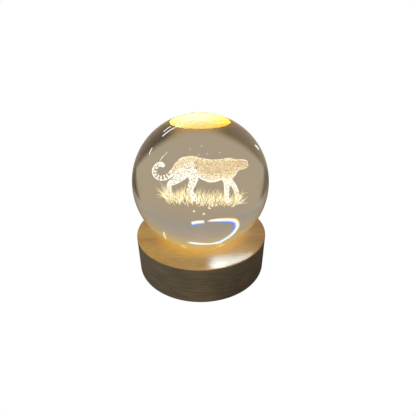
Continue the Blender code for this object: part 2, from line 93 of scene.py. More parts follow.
# The engraved cat, in mm from the ball's centre: (width share, [(across, depth, height, radius), ...])
CAT_LIMBS = [
    (0.66, [(-5.9, 0, 7.2, 3.9), (-3.6, 0, 7.6, 3.85), (-0.4, 0, 6.7, 3.9), (3.8, 0, 5.0, 4.85),
            (6.6, 0, 5.5, 4.45), (9.8, 0, 6.0, 4.15)]),
    (0.6, [(8.6, 0, 7.3, 2.8), (10.9, 0, 8.0, 2.65), (12.6, 0, 8.2, 2.3)]),
    (0.7, [(10.8, 0, 4.9, 3.55), (12.4, 0, 6.2, 2.7), (14.0, 0, 7.35, 2.45), (15.6, 0, 8.1, 2.1)]),
    (0.85, [(15.4, 0, 8.1, 2.0), (17.0, 0, 8.3, 1.8), (18.2, 0, 8.7, 1.1)]),
    (0.85, [(15.5, 0, 7.3, 1.6), (17.0, 0, 6.95, 1.15), (18.6, 0, 7.3, 0.75)]),
    (0.8, [(12.2, -1.0, 9.3, 0.9), (10.9, -1.2, 9.8, 0.7)]),
    (0.8, [(12.2, 1.0, 9.1, 0.9), (10.9, 1.2, 9.5, 0.7)]),
    (0.75, [(9.6, -1.2, 4.4, 2.4), (10.4, -1.7, 1.2, 1.45), (10.3, -1.8, -2.0, 1.05),
            (10.2, -1.8, -5.2, 0.95), (10.3, -1.8, -6.6, 1.1), (11.1, -1.8, -6.9, 0.85)]),
    (0.75, [(10.2, 1.2, 4.0, 2.4), (10.4, 1.6, 1.9, 1.7), (11.3, 1.8, -0.2, 1.25), (12.5, 1.8, -1.8, 1.05),
            (13.4, 1.8, -3.5, 0.95), (13.8, 1.8, -5.2, 0.88), (13.8, 1.8, -6.6, 0.85)]),
    (0.75, [(-4.8, -0.8, 6.6, 3.2), (-2.9, -1.7, 3.8, 2.2), (-3.2, -1.9, 0.8, 1.6), (-4.2, -2.0, -2.0, 1.25),
            (-3.5, -2.0, -4.2, 1.0), (-2.7, -2.0, -5.9, 1.05), (-2.0, -2.0, -6.4, 0.8)]),
    (0.75, [(-6.2, 0.8, 5.2, 3.0), (-7.7, 1.6, 2.2, 2.1), (-9.7, 1.8, 0.2, 1.55), (-12.0, 1.9, -1.5, 1.1),
            (-12.3, 1.9, -3.3, 0.9), (-12.1, 1.9, -5.6, 1.0), (-11.3, 1.9, -6.0, 0.8)]),
    (1.0, [(-8.6, 0, 7.2, 1.8), (-10.4, 0, 4.9, 1.3), (-12.8, 0, 2.8, 1.1), (-15.2, 0, 1.8, 1.0),
           (-17.3, 0, 2.6, 1.0), (-18.3, 0, 4.7, 1.0), (-17.9, 0, 6.5, 0.95), (-16.9, 0, 7.7, 0.9),
           (-15.6, 0, 7.9, 0.95), (-15.0, 0, 7.4, 0.85)]),
]
# Where the cat turns white below, for its pale belly and for painted lamplight from beneath, the dark line
# between tail and thigh, and the spot on its flank
WHITE_BELOW = [(-20, 20), (-12.6, 11), (-11.2, 3.6), (-9.4, 4.4), (-8.4, 5.8), (-6, 7.4), (-3.1, 7.6),
               (-1.6, 6.2), (-1, 4.4), (0.9, 2.7), (2.9, 1.6), (4.3, 1.5), (6.2, 2.1), (8, 2.0), (10, 1.7),
               (12, 1.6), (14, 1.8)]
TAIL_GAP = [(-8.8, 4.4), (-9.8, 2.95), (-11.1, 1.75)]
FLANK_SPOT = (-1.7, 7.6)
TAIL_CURL = (-15.2, 4.9)
TAIL_CURL_RADIUS = 3.25
TAIL_BEFORE = -11.6
SPOTS_FROM = -11.4
CAT_DOT_COUNT = 20000
SPOT_SPACING = 1.15
SPOT_TRIES = 2500
GRASS_BLADE_COUNT = 380
# Where the roots stand, across: the whole tuft and its two ends, with their shares of the blades
ROOT_RANGES = ((-13.2, 14.0), (-13.8, -11.3), (12.4, 14.3))
ROOT_SHARES = (0.8, 0.12, 0.08)
# The ground's height under the roots, from left to right
GROUND = ((-14, -11, 0, 12, 15), (-7.2, -9.0, -9.6, -10.2, -9.0))
TUFT_REACH = 14
END_LEAN = math.radians(42)
BLADE_STEP = 0.17
ENGRAVING_GLOW = 1.2

# Reflections that the photograph shows in the glass: routes of pixels, each with half the route's width there
ROOM_LAMP_CURVES = [
    [(206, 221.5, 0.8), (210.7, 220.7, 1.2), (216.3, 220.3, 2.0), (222.9, 220.2, 2.8), (229.6, 220.3, 3.4),
     (234.8, 221.4, 4.4), (236.3, 224.6, 4.6), (235.3, 228.8, 3.3), (233.4, 232.2, 2.1), (229.2, 236.3, 1.6),
     (223.8, 239.7, 1.5), (219.4, 241.8, 2.0), (213.6, 243.3, 1.1), (207.3, 243.9, 1.0), (200, 243.6, 1.5),
     (194.5, 243.1, 1.3), (190.2, 242.6, 1.1), (185.8, 242.0, 0.9)],
    [(191.2, 223.6, 2.6), (197.8, 222.5, 2.6), (204.6, 221.8, 1.9)],
]
ROOM_LAMP_LINES = [
    [(161.8, 136.8, 0.55), (168, 131.6, 0.6), (175, 127.6, 0.5), (182.6, 125, 0.5)],
    [(163.2, 132.1, 0.45), (167, 128.8, 0.5), (171.2, 126.1, 0.45)],
    [(149.1, 154.9, 0.4), (150.5, 151, 0.5), (152.3, 147.5, 0.4)],
    [(159.8, 161, 0.25), (161.9, 157.9, 0.4), (164.3, 155, 0.25)],
    [(164.4, 155.5, 0.2), (166, 153.5, 0.28), (167.6, 151.6, 0.2)],
    [(254.9, 144.7, 0.8), (257, 147, 1.1), (259, 149.8, 0.7)],
]
CROWN_STREAK = [(173, 128.4, 1.2), (181, 124.4, 1.8), (190, 120.6, 2.0), (200, 117.2, 1.6), (207, 115.4, 1.0)]
FOOT_GLINTS = [
    [(181.3, 245.1, 0.8), (184.3, 246.7, 1.1), (187.5, 247.9, 0.8)],
    [(218.6, 246.4, 0.8), (222.5, 245.5, 1.1), (226.3, 244.2, 0.8)],
    [(163.6, 231.5, 0.8), (164.4, 235.4, 1.3), (166.2, 239.4, 1.0)],
    [(240.5, 238.6, 0.8), (244.4, 235.2, 1.2), (247.6, 231.8, 0.7)],
]
MIRRORED_LIGHT_PIXELS = [(194, 211.2), (204, 213.8), (209.6, 208.2)]
FAINT_LIGHT_PIXELS = [(201.6, 145.9), (190.2, 149.4), (198.6, 154.6), (207, 154), (220, 152.6)]

# The photograph's camera, in ball radii and pixels of a 416 by 416 frame
FRAME_SIZE = 416
CAMERA_PITCH = math.radians(29.01)
CAMERA_DISTANCE = 4.5 * BALL_RADIUS
FOCAL_PIXELS = 301
BALL_SHIFT_RIGHT = -7.2
BALL_SHIFT_UP = 25.6
GLASS_INDEX = 1.517
STRIP_HEIGHT = 0.5 * MM
STRIP_DISTANCE = 250 * MM
FULL_SPREAD_PIXELS = 3.6
WINDOW_DISTANCE = 0.8

CAMERA_RIGHT = Vector((1, 0, 0))
CAMERA_BACK = Vector((0, -math.cos(CAMERA_PITCH), math.sin(CAMERA_PITCH)))
CAMERA_UP = CAMERA_BACK.cross(CAMERA_RIGHT)
CAMERA_PLACE = (
    BALL_CENTRE
    + CAMERA_BACK * CAMERA_DISTANCE
    - CAMERA_RIGHT * BALL_SHIFT_RIGHT * CAMERA_DISTANCE / FOCAL_PIXELS
    - CAMERA_UP * BALL_SHIFT_UP * CAMERA_DISTANCE / FOCAL_PIXELS
)


def srgb(code):
    """A linear colour from an sRGB hex value."""
    channels = [int(code[place:place + 2], 16) / 255 for place in (1, 3, 5)]
    return tuple(c / 12.92 if c <= 0.04045 else ((c + 0.055) / 1.055) ** 2.4 for c in channels) + (1.0,)


def feed(node, inputs):
    """Sets inputs of a node, by name or in order: each to a value, a hex colour, an output or a node."""
    for name, value in inputs.items() if isinstance(inputs, dict) else enumerate(inputs):
        if isinstance(value, str):
            value = srgb(value)
        elif isinstance(value, bpy.types.Node):
            # A node stands for its first output in use
            value = next(output for output in value.outputs if output.enabled)
        if isinstance(value, bpy.types.NodeSocket):
            node.id_data.links.new(value, node.inputs[name])
        else:
            node.inputs[name].default_value = value


def add_node(tree, kind, inputs=(), stops=(), **settings):
    """Adds a shader node with its settings and inputs, and a ramp's stops: places with sRGB colours."""
    made = tree.nodes.new("ShaderNode" + kind)
    for name, value in settings.items():
        setattr(made, name, value)
    feed(made, inputs)
    if stops:
        elements = made.color_ramp.elements
        while len(elements) < len(stops):
            elements.new(0.5)
        for element, (place, code) in zip(elements, stops):
            element.position = place
            element.color = srgb(code)
    return made


def new_finish(name, **values):
    """A material, its node tree, its shader with plain values set on it, and the piece's own space."""
    material = bpy.data.materials.new(name)
    material.use_nodes = True
    tree = material.node_tree
    shader = tree.nodes["Principled BSDF"]
    feed(shader, {socket.replace("_", " "): value for socket, value in values.items()})
    return material, tree, shader, add_node(tree, "TexCoord").outputs["Object"]


def from_axis(tree, place):
    """How far a place is from the lamp's upright axis."""
    flat = add_node(tree, "VectorMath", [place, (1, 1, 0)], operation="MULTIPLY")
    return add_node(tree, "VectorMath", [flat], operation="LENGTH")


def deselect():
    """Leaves edit mode and selects nothing."""
    if bpy.context.mode != "OBJECT":
        bpy.ops.object.mode_set(mode="OBJECT")
    bpy.ops.object.select_all(action="DESELECT")


def named(name):
    """The primitive that was just added, under its own name."""
    piece = bpy.context.object
    piece.name = name
    piece.data.name = name
    return piece


def work_on(piece):
    """Selects a piece alone."""
    deselect()
    piece.select_set(True)
    bpy.context.view_layer.objects.active = piece


def edit(piece):
    """Opens a piece in edit mode, with all of it selected."""
    work_on(piece)
    bpy.ops.object.mode_set(mode="EDIT")
    bpy.ops.mesh.select_all(action="SELECT")


def shade(piece, angle=35):
    """Shades a piece smooth, but for edges sharper than an angle in degrees."""
    work_on(piece)
    bpy.ops.object.shade_smooth_by_angle(angle=math.radians(angle))


def pick(piece, test, kind="faces"):
    """In edit mode, selects only the faces or edges whose middle passes a test."""
    bpy.ops.mesh.select_mode(type="FACE" if kind == "faces" else "EDGE")
    bpy.ops.mesh.select_all(action="DESELECT")
    mesh = bmesh.from_edit_mesh(piece.data)
    for part in getattr(mesh, kind):
        middle = sum((corner.co for corner in part.verts), Vector()) / len(part.verts)
        if test(part, middle):
            part.select = True
    mesh.select_flush_mode()
    bmesh.update_edit_mesh(piece.data)


def finished(piece, body, slot, *materials, replaces=(), smooth_angle=35):
    """Puts a piece's place into its mesh, turns its faces out and lets it ride on its body."""
    edit(piece)
    bpy.ops.mesh.remove_doubles(threshold=0.001 * MM)
    bpy.ops.mesh.normals_make_consistent(inside=False)
    work_on(piece)
    bpy.ops.object.transform_apply(location=True, rotation=True, scale=True)
    shade(piece, smooth_angle)
    for material in materials:
        piece.data.materials.append(material)
    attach(piece, body)
    if replaces:
        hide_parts(*replaces)
    return piece


def turned(name, profile, closed=False, steps=ROUND):
    """Turns a piece: a ring is drawn at the profile's first point, then drawn out from point to point.

    A closed profile ends where it started. Any other one is filled with a flat face at both ends.
    """
    deselect()
    radius, height = profile[0]
    bpy.ops.mesh.primitive_circle_add(vertices=steps, radius=radius, location=(0, 0, height))
    piece = named(name)
    edit(piece)
    if closed:
        draw_out = bpy.ops.mesh.extrude_edges_move
    else:
        draw_out = bpy.ops.mesh.extrude_region_move
        bpy.ops.mesh.edge_face_add()
    for (here, level), (there, next_level) in zip(profile, profile[1:]):
        draw_out(TRANSFORM_OT_translate={"value": (0, 0, next_level - level)})
        share = there / here
        bpy.ops.transform.resize(value=(share, share, 1), center_override=(0, 0, next_level))
    if closed:
        bpy.ops.mesh.select_mode(type="EDGE")
        bpy.ops.mesh.select_all(action="DESELECT")
        bpy.ops.mesh.select_non_manifold()
        bpy.ops.mesh.bridge_edge_loops()
    else:
        bpy.ops.mesh.edge_face_add()
        bpy.ops.mesh.select_all(action="SELECT")
        bpy.ops.mesh.normals_make_consistent(inside=False)
    deselect()
    return piece


def rounded(middle_radius, middle_height, size, start, end, steps=6):
    """Profile points along a small arc, from one angle to another, in degrees."""
    turns = [math.radians(start + (end - start) * step / steps) for step in range(steps + 1)]
    return [(middle_radius + size * math.cos(turn), middle_height + size * math.sin(turn)) for turn in turns]


def modified(piece, kind, **settings):
    """Applies a modifier to a piece."""
    work_on(piece)
    modifier = piece.modifiers.new(kind.lower(), kind)
    for name, value in settings.items():
        setattr(modifier, name, value)
    bpy.ops.object.modifier_apply(modifier=modifier.name)


def cut(piece, cutter):
    """Cuts one piece with another, which is then gone."""
    modified(piece, "BOOLEAN", operation="DIFFERENCE", object=cutter)
    bpy.data.objects.remove(cutter, do_unlink=True)


def sight_line(pixel):
    """The direction from the camera through a pixel of the photograph."""
    across, down = pixel
    half = FRAME_SIZE / 2
    line = CAMERA_RIGHT * (across - half) - CAMERA_UP * (down - half) - CAMERA_BACK * FOCAL_PIXELS
    return line.normalized()


def first_touch(pixel):
    """Where a pixel's sight line meets the ball, and the line's direction."""
    line = sight_line(pixel)
    reach = CAMERA_PLACE - BALL_CENTRE
    along = line.dot(reach)
    inside = along * along - reach.length_squared + BALL_RADIUS**2
    return CAMERA_PLACE + line * (-along - math.sqrt(max(inside, 0.0))), line


def bent(line, normal, ratio):
    """A line that is refracted at a surface whose normal faces it."""
    facing = -line.dot(normal)
    return line * ratio + normal * (ratio * facing - math.sqrt(max(1 - ratio**2 * (1 - facing**2), 0)))


def seen_through(pixel):
    """The place, far behind the ball or close to the floor, whose image through the glass lies at a pixel."""
    touch, line = first_touch(pixel)
    normal = (touch - BALL_CENTRE).normalized()
    inner = bent(line, normal, 1 / GLASS_INDEX).normalized()
    leave = touch - inner * 2 * inner.dot(touch - BALL_CENTRE)
    outer = bent(inner, (BALL_CENTRE - leave).normalized(), GLASS_INDEX).normalized()
    distance = STRIP_DISTANCE
    if outer.z < 0:
        distance = min(distance, (leave.z - STRIP_HEIGHT) / -outer.z)
    return leave + outer * distance


def seen_on_top(pixel):
    """The point of the base's flat top that lies at a pixel."""
    line = sight_line(pixel)
    return CAMERA_PLACE + line * ((BASE_TOP - CAMERA_PLACE.z) / line.z)


def grained(name, size, stops, depth=0, detail=2.0, stretch=(1, 1, 1), **values):
    """A finish with a grain: a noise of one size sets its colour and, over a depth, raises its surface."""
    material, tree, shader, place = new_finish(name, **values)
    along = add_node(tree, "Mapping", {"Vector": place, "Scale": stretch})
    grain = add_node(tree, "TexNoise", {"Vector": along, "Scale": 1 / size, "Detail": detail})
    feed(shader, {"Base Color": add_node(tree, "ValToRGB", [grain], stops)})
    if depth:
        feed(shader, {"Normal": add_node(tree, "Bump", {"Height": grain, "Distance": depth})})
    return material


def optical_glass():
    """Polished crown glass: quite clear and colourless, so that only its outline and reflections show."""
    # Faint draw streaks in the melt, 8 mm apart, change the clear tint by a hair
    return grained(
        "polished_crown_glass", 8 * MM, ((0.3, "#FDFCFA"), (0.7, "#FFFFFF")), Roughness=0.0, IOR=GLASS_INDEX,
        Transmission_Weight=1.0,
    )


def wood(name, stretch, turn, pore_depth, stops, **values):
    """Wood with long fibres and fine pores: its material, tree, shader, grain's space and colour."""
    material, tree, shader, place = new_finish(name, **values)
    along = add_node(tree, "Mapping", {"Vector": place, "Rotation": (0, 0, turn), "Scale": stretch})
    fibres = add_node(tree, "TexNoise", {"Vector": along, "Scale": 1 / (0.9 * MM), "Detail": 4.0})
    pores = add_node(tree, "TexNoise", {"Vector": along, "Scale": 1 / (0.35 * MM), "Detail": 1.0})
    colour = add_node(tree, "ValToRGB", [fibres], stops)
    relief = add_node(tree, "Bump", {"Height": pores, "Distance": pore_depth})
    feed(shader, {"Base Color": colour, "Normal": relief})
    return material, tree, shader, along, colour


def lacquered_top_wood():
    """Light close-grained hardwood, turned and satin lacquered: soft rings run from left to right."""
    material, tree, shader, along, fibre_colour = wood(
        "lacquered_light_hardwood", *TOP_GRAIN, 0.02 * MM, ((0.30, "#B68C48"), (0.70, "#ECC474")),
        Roughness=0.5, Specular_IOR_Level=0.3, Coat_Weight=0.6, Coat_Roughness=0.075,
        # Amber, for the lamplight that is painted round the seat
        Emission_Color="#FFB42C",
    )
    # Growth rings 3.2 mm apart, which sway by up to 9 mm
    sway = add_node(tree, "TexNoise", {"Vector": along, "Scale": 1 / (30 * MM), "Detail": 3.0})
    swayed = add_node(tree, "VectorMath", {0: sway.outputs["Color"], "Scale": 9 * MM}, operation="SCALE")
    moved = add_node(tree, "VectorMath", [along, swayed], operation="ADD")
    rings = add_node(
        tree, "TexWave",
        {"Vector": moved, "Scale": 1 / (20 * 3.2 * MM), "Distortion": 2.6, "Detail": 2.0,
         "Detail Scale": 1.5},
        bands_direction="Y", wave_profile="SIN",
    )
    blend = add_node(
        tree, "ValToRGB", [rings.outputs["Fac"]], ((0.0, "#EAC26C"), (0.55, "#E2B864"), (1.0, "#CCA056"))
    )
    # The right side is painted redder and darker, as shade where the sheen from the left doesn't reach, and
    # round the seat the wood is painted amber and glowing, as lamplight leaving the glass
    place = add_node(tree, "TexCoord").outputs["Object"]
    across = add_node(tree, "SeparateXYZ", [place])
    painted_right_shade = add_node(tree, "MapRange", [across, 20 * MM, 40 * MM, 0, 0.5], interpolation_type="SMOOTHSTEP")
    glow = add_node(
        tree, "MapRange", [from_axis(tree, place), SEAT_RADIUS + 12 * MM, SEAT_RADIUS],
        interpolation_type="SMOOTHERSTEP",
    )
    painted_amber_light, strength = (add_node(tree, "Math", [glow, share], operation="MULTIPLY") for share in (0.55, 0.3))
    for factor, layer in ((0.45, fibre_colour), (painted_right_shade, "#9A6020"), (painted_amber_light, "#D09810")):
        blend = add_node(tree, "Mix", {"Factor": factor, "A": blend, "B": layer}, data_type="RGBA")
    feed(shader, {"Base Color": blend, "Emission Strength": strength})
    return material


def darker_side_wood():
    """The same wood on the side, darker and greyer than the top, and satin: its grain runs round the side as
    faint lying lines.
    """
    return wood(
        "dark_side_hardwood", (0.10, 0.10, 1), 0, 0.03 * MM,
        ((0.32, "#6A675A"), (0.50, "#777366"), (0.68, "#858175")),
        Roughness=0.55, Coat_Weight=0.10, Coat_Roughness=0.4,
    )[0]


def painted_well_light(material, own_strength=0.0):
    """Lamplight on a finish in the well, painted as its own glow. Only rays mirrored in the ball get the
    painted glare that fills it.
    """
    tree = material.node_tree
    parts = add_node(tree, "SeparateXYZ", [add_node(tree, "TexCoord").outputs["Object"]]).outputs
    # The painted lamplight is paler in the depth of the well and on one side, deep gold at its upper edge
    raised = add_node(tree, "Math", [parts["X"], -0.06, parts["Z"]], operation="MULTIPLY_ADD")
    share = add_node(tree, "MapRange", [raised, SEAT_HEIGHT - 4 * MM, SEAT_HEIGHT])
    gold = add_node(tree, "ValToRGB", [share], ((0.0, "#FFDCA4"), (0.6, "#FFD85C"), (1.0, "#FFC424")))
    # The painted glare shows only to rays mirrored once inside the ball, and then out through its glass: the
    # wood's own sheen doesn't count
    path = add_node(tree, "LightPath").outputs
    painted_glare = add_node(tree, "Math", [path["Glossy Depth"], 1.0, 0.5], operation="COMPARE")
    # From the board up to just below the ring that the ball rests on
    edge = SEAT_HEIGHT - 0.5 * MM
    middle = (board_high.z + edge) / 2
    reach = (edge - board_high.z) / 2 + 0.05 * MM
    inside = add_node(tree, "Math", [parts["Z"], middle, reach], operation="COMPARE")
    for factor in (path["Is Transmission Ray"], inside):
        painted_glare = add_node(tree, "Math", [painted_glare, factor], operation="MULTIPLY")
    strength = add_node(tree, "MapRange", [painted_glare, 0, 1, own_strength, PAINTED_WELL_GLARE])
    feed(tree.nodes["Principled BSDF"], {"Emission Color": gold, "Emission Strength": strength})
    material.cycles.emission_sampling = "NONE"
    return material


def raw_inner_wood():
    """Bare wood inside the base, cut on the lathe: duller than the top, and lit warm in the well by a painted
    glow.
    """
    bare = wood(
        "bare_turned_wood", *TOP_GRAIN, 0.03 * MM, ((0.30, "#A67230"), (0.70, "#CC9446")), Roughness=0.6
    )
    return painted_well_light(bare[0], PAINTED_WELL_GLOW)


def warm_phosphor():
    """Silicone filled with yellow phosphor: matte, and so bright when lit that its colour pales."""
    return grained(
        "lit_yellow_phosphor", 0.2 * MM, ((0.35, "#E8C23C"), (0.65, "#F3D75C")), Roughness=0.4,
        Emission_Color="#FFD68C", Emission_Strength=LIGHT_RADIANCE,
    )


def speckled_finish(name, dark, light, grain, roughness, depth):
    """A moulded or printed finish: two close colours in a fine grain, which also raises the surface."""
    return grained(name, grain, ((0.35, dark), (0.65, light)), depth, 3.0, Roughness=roughness)


def brushed_metal(name, dark, light, roughness):
    """Plated or pressed metal: fine lines along the way it was worked, 0.1 mm apart."""
    return grained(
        name, 0.1 * MM, ((0.3, dark), (0.7, light)), 0.004 * MM, stretch=(1, 0.08, 1), Metallic=1.0,
        Roughness=roughness,
    )


def placed_copies(pattern, name, places, body, replaced):
    """Copies of a pattern, each with its own mesh, turned outwards at its place. The pattern is then gone."""
    for index, (across, along, turn) in enumerate(places, start=1):
        piece = pattern.copy()
        piece.data = pattern.data.copy()
        piece.name = f"{name}_{index}"
        piece.data.transform(Matrix.Translation((across, along, 0)) @ Matrix.Rotation(turn, 4, "Z"))
        bpy.context.scene.collection.objects.link(piece)
        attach(piece, body)
        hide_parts(f"{replaced}_{index}")
    bpy.data.objects.remove(pattern, do_unlink=True)


def around(count, radius, start_angle):
    """Even places on a circle, with their angles."""
    turns = [math.radians(start_angle) + index * math.tau / count for index in range(count)]
    return [(radius * math.cos(turn), radius * math.sin(turn), turn) for turn in turns]


def joined(name, *pieces):
    """Several meshes as one piece."""
    deselect()
    for piece in pieces:
        piece.select_set(True)
    bpy.context.view_layer.objects.active = pieces[0]
    bpy.ops.object.join()
    return named(name)


def box_between(name, low, high):
    """A plain block between two corners."""
    deselect()
    bpy.ops.mesh.primitive_cube_add(size=1, location=(low + high) / 2, scale=high - low)
    return named(name)


def block(name, low, high, edge, *materials):
    """A block between two corners, with bevelled edges."""
    piece = box_between(name, Vector(low), Vector(high))
    bpy.ops.object.transform_apply(location=True, rotation=True, scale=True)
    edit(piece)
    bpy.ops.mesh.bevel(offset=edge, segments=2, affect="EDGES")
    deselect()
    for material in materials:
        piece.data.materials.append(material)
    return piece


def make_lights_on_board(package, solder):
    """Square lights: a white package with one cut corner, a round cup of phosphor, and six soldered feet."""
    half = LIGHT_WIDTH / 2
    cup_radius = 2.1 * MM
    cup_depth = 0.5 * MM
    foot = 0.35 * MM
    body = block("light", (-half, -half, light_low.z), (half, half, light_high.z), 0.12 * MM, package)
    cup = [(cup_radius, light_high.z + GAP), (cup_radius * 0.9, light_high.z - cup_depth)]
    cut(body, turned("cup_cutter", cup, steps=48))
    edit(body)
    corner = half - 0.5 * MM
    bpy.ops.mesh.bisect(plane_co=(corner, corner, 0), plane_no=(1, 1, 0), use_fill=True, clear_outer=True)
    deselect()
    top = light_high.z - 0.12 * MM
    phosphor = [
        (0.4 * MM, top + 0.06 * MM), (1.2 * MM, top + 0.04 * MM), (cup_radius * 0.97, top - 0.05 * MM),
        (cup_radius * 0.92, light_high.z - cup_depth * 0.9),
    ]
    fill = turned("phosphor", phosphor, steps=32)
    fill.data.materials.append(warm_phosphor())
    feet = []
    for side in (-1, 1):
        for step in (-1, 0, 1):
            middle = step * 1.6 * MM
            low = (middle - foot, side * half - foot, light_low.z)
            high = (middle + foot, side * half + foot, light_low.z + foot)
            feet.append(block("foot", low, high, 0.05 * MM, solder))
    light = joined("light", body, fill, *feet)
    shade(light)
    places = around(LIGHT_COUNT, LIGHT_RING_RADIUS, LIGHT_START_ANGLE)
    placed_copies(light, "light", places, "base", "led")


def chip(name, low, high, ceramic, solder):
    """A flat chip resistor along X, with soldered ends."""
    cap = 0.16 * (high.x - low.x)
    body = block("body", (low.x + cap, low.y, low.z), (high.x - cap, high.y, high.z), 0.04 * MM, ceramic)
    near = block("end", low, (low.x + cap, high.y, high.z), 0.1 * MM, solder)
    far = block("end", (high.x - cap, low.y, low.z), high, 0.1 * MM, solder)
    piece = joined(name, body, near, far)
    shade(piece)
    return piece


def make_resistors(ceramic, solder):
    """Chip resistors: three lie between the lights and point outwards, two are under the socket's board."""
    reach, half = CHIP_LENGTH / 2, CHIP_WIDTH / 2
    low, high = Vector((-reach, -half, chip_low.z)), Vector((reach, half, chip_high.z))
    places = around(CHIP_COUNT, LIGHT_RING_RADIUS, LIGHT_START_ANGLE + 180 / LIGHT_COUNT)
    pattern = chip("chip", low, high, ceramic, solder)
    placed_copies(pattern, "chip", places, "base", "resistor")
    for index in (1, 2):
        low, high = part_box(f"sense_resistor_{index}")
        piece = chip(f"sense_chip_{index}", low, high, ceramic, solder)
        finished(piece, "base", "chip_ceramic", replaces=(f"sense_resistor_{index}",))


def thread(shank, top, bottom, pitch=0.8 * MM, depth=0.14 * MM):
    """A screw thread's outline, drawn as rings, from its top downwards."""
    count = int((top - bottom) / pitch)
    outline = []
    for index in range(count):
        crest = top - index * pitch
        outline.append((shank, crest))
        outline += [(shank - depth, crest - share * pitch) for share in (0.3, 0.7)]
    return [*outline, (shank, top - count * pitch), (shank, bottom)]


def screw_with_cross(name, profile, bottom, arm, steel):
    """A turned screw that points up, with a cross recess in the underside of its head."""
    screw = turned(name, profile, steps=36)
    blade, deep = 0.19 * arm, 0.56 * arm
    for low, high in (((-arm, -blade), (arm, blade)), ((-blade, -arm), (blade, arm))):
        cut(screw, box_between("recess", Vector((*low, bottom - GAP)), Vector((*high, bottom + deep))))
    shade(screw)
    screw.data.materials.append(steel)
    return screw


def make_cover_screws(steel):
    """Countersunk screws, which hold the bottom cover."""
    neck = screw_low.z + 1.3 * MM
    rim = 0.2 * MM
    shank = 1.1 * MM
    profile = [
        (0.25 * MM, screw_high.z), (shank * 0.8, screw_high.z - 0.6 * MM),
        *thread(shank, screw_high.z - 1.2 * MM, neck), (SCREW_HEAD_RADIUS, screw_low.z + rim),
        (SCREW_HEAD_RADIUS, screw_low.z + 0.06 * MM), (SCREW_HEAD_RADIUS - 0.12 * MM, screw_low.z),
    ]
    screw = screw_with_cross("cover_screw_head", profile, screw_low.z, 1.25 * MM, steel)
    places = around(SCREW_COUNT, SCREW_CIRCLE_RADIUS, 45)
    placed_copies(screw, "cover_screw_head", places, "base", "cover_screw")


def make_pan_screws(steel):
    """Pan-head screws, which hold the light board and the socket's board from below."""
    for count, name, node, shank, head, head_height in (
        (3, "light_board_pan_screw", "board_screw", 1.0 * MM, 1.9 * MM, 1.3 * MM),
        (2, "socket_pan_screw", "socket_screw", 0.7 * MM, 1.3 * MM, 1.0 * MM),
    ):
        boxes = [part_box(f"{node}_{index}") for index in range(1, count + 1)]
        low, high = boxes[0]
        edge = 0.4 * MM
        under_head = low.z + head_height
        profile = [
            (0.2 * MM, high.z), *thread(shank, high.z - 1.2 * MM, under_head, 0.6 * MM, 0.1 * MM),
            (head, under_head), *rounded(head - edge, low.z + edge, edge, 0, -90), (head / 2, low.z),
        ]
        screw = screw_with_cross(name, profile, low.z, 0.62 * head, steel)
        places = [((low.x + high.x) / 2, (low.y + high.y) / 2, 0) for low, high in boxes]
        placed_copies(screw, name, places, "base", node)


def make_foot_pads(foam):
    """Round foam pads with soft edges."""
    edge = 0.3 * MM
    profile = [
        (PAD_RADIUS, pad_high.z), *rounded(PAD_RADIUS - edge, edge, edge, 0, -90), (PAD_RADIUS * 0.5, 0),
    ]
    pad = turned("soft_pad", profile, steps=64)
    shade(pad)
    pad.data.materials.append(foam)
    places = around(PAD_COUNT, PAD_CIRCLE_RADIUS, 0)
    placed_copies(pad, "soft_pad", places, "base", "foot_pad")


def make_socket(steel, plastic, gold):
    """The power socket: a drawn steel shell, and a plastic tongue with gold contacts on both faces."""
    wall = 0.3 * MM
    shell = round_bar("socket_can", shell_low, shell_high)
    hollow_low = shell_low + Vector((wall, wall, wall))
    hollow_high = shell_high + Vector((-wall, GAP, -wall))
    cut(shell, round_bar("can_hollow", hollow_low, hollow_high))
    edit(shell)
    pick(shell, lambda edge, middle: all(corner.co.y > shell_high.y - 1e-6 for corner in edge.verts), "edges")
    bpy.ops.mesh.bevel(offset=0.07 * MM, segments=2, affect="EDGES")
    finished(shell, "base", "socket_steel", steel, replaces=("socket_shell",))

    middle = (tongue_low.z + tongue_high.z) / 2
    half_blade, half_width = 0.35 * MM, 3.35 * MM
    block_end = tongue_low.y + 2.4 * MM
    plug_block = round_bar("tongue_block", tongue_low, Vector((tongue_high.x, block_end, tongue_high.z)))
    plug_block.data.transform(Matrix.Translation(plug_block.location))
    plug_block.location = (0, 0, 0)
    plug_block.data.materials.append(plastic)
    low = (-half_width, block_end - GAP, middle - half_blade)
    high = (half_width, tongue_high.y, middle + half_blade)
    tongue = joined("socket_blade", plug_block, block("blade", low, high, 0.12 * MM, plastic))
    finished(tongue, "base", "socket_plastic", replaces=("socket_tongue",))
    contacts = []
    pitch, contact_half = 0.5 * MM, 0.13 * MM
    for side in (-1, 1):
        for step in range(12):
            across = (step - 5.5) * pitch
            face = middle + side * half_blade
            raised = face + side * 0.04 * MM
            low = (across - contact_half, block_end + 0.4 * MM, min(face, raised))
            high = (across + contact_half, tongue_high.y - 0.7 * MM, max(face, raised))
            contacts.append(block("contact", low, high, 0.012 * MM, gold))
    finished(joined("socket_contacts", *contacts), "base", "screw_steel")


